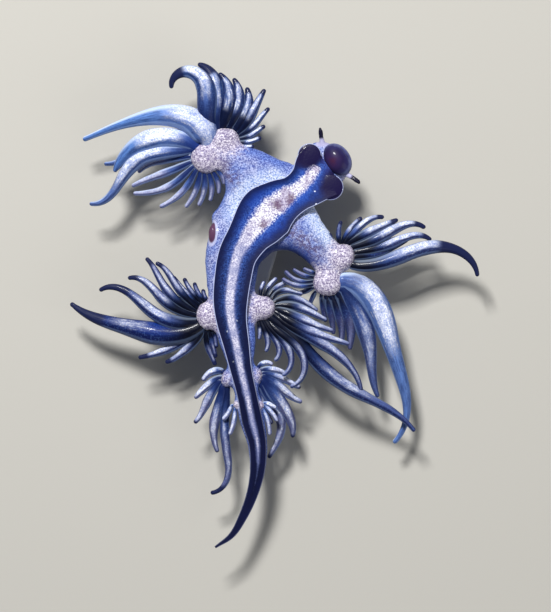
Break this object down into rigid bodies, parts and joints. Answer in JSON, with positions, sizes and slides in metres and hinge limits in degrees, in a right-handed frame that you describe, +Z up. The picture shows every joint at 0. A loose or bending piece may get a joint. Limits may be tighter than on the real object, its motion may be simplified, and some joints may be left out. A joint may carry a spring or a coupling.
{
  "type": "blue dragon sea slug",
  "caption": "Life-size blue dragon sea slug floating foot up, with fans of curved gill fingers, on a small display stand.",
  "frame": {"origin": "centre of the underside of the display stand's base, under the middle of the body", "axes": "+Z up, towards the sole of the foot, because the animal floats on its back; +Y towards the head end, with the tail at -Y; +X to the animal's left"},
  "size_m": [0.0411, 0.0487, 0.008],
  "materials": {
    "body_navy": "wet, slightly glossy skin, navy and cobalt with a silver stripe along the foot and pale silvery blue flanks",
    "silver_blue_skin": "wet, slightly glossy skin, pale silvery blue with fine dark grains",
    "gill_blue": "wet, slightly glossy skin, silver-blue on top and navy at the sides and tips",
    "maroon_mouth": "wet, glossy, plum with a navy rim",
    "feeler_indigo": "wet, slightly glossy, pale at the root and navy at the tip",
    "stand_white": "satin white"
  },
  "bodies": {
    "root": {"foot_front": "body_navy", "torso_front": "body_navy", "torso_rear": "body_navy", "tail_base": "body_navy", "tail_middle": "body_navy", "tail_tip": "body_navy", "head": "silver_blue_skin", "mouth": "maroon_mouth", "oral_tentacle_right": "feeler_indigo", "oral_tentacle_left": "feeler_indigo", "rhinophore_right": "feeler_indigo", "rhinophore_left": "feeler_indigo", "arm_front_right": "silver_blue_skin", "arm_front_left": "silver_blue_skin", "gills_front_right_fore": "gill_blue", "gills_front_right_hind": "gill_blue", "gills_front_left_fore": "gill_blue", "gills_front_left_hind": "gill_blue", "gills_rear_right": "gill_blue", "gills_rear_left": "gill_blue", "gills_tail_right": "gill_blue", "gills_tail_left": "gill_blue", "tuft_tail_right": "gill_blue", "tuft_tail_left": "gill_blue", "stand_base": "stand_white", "stand_rod_front": "stand_white", "stand_rod_rear": "stand_white"}
  },
  "joints": []
}
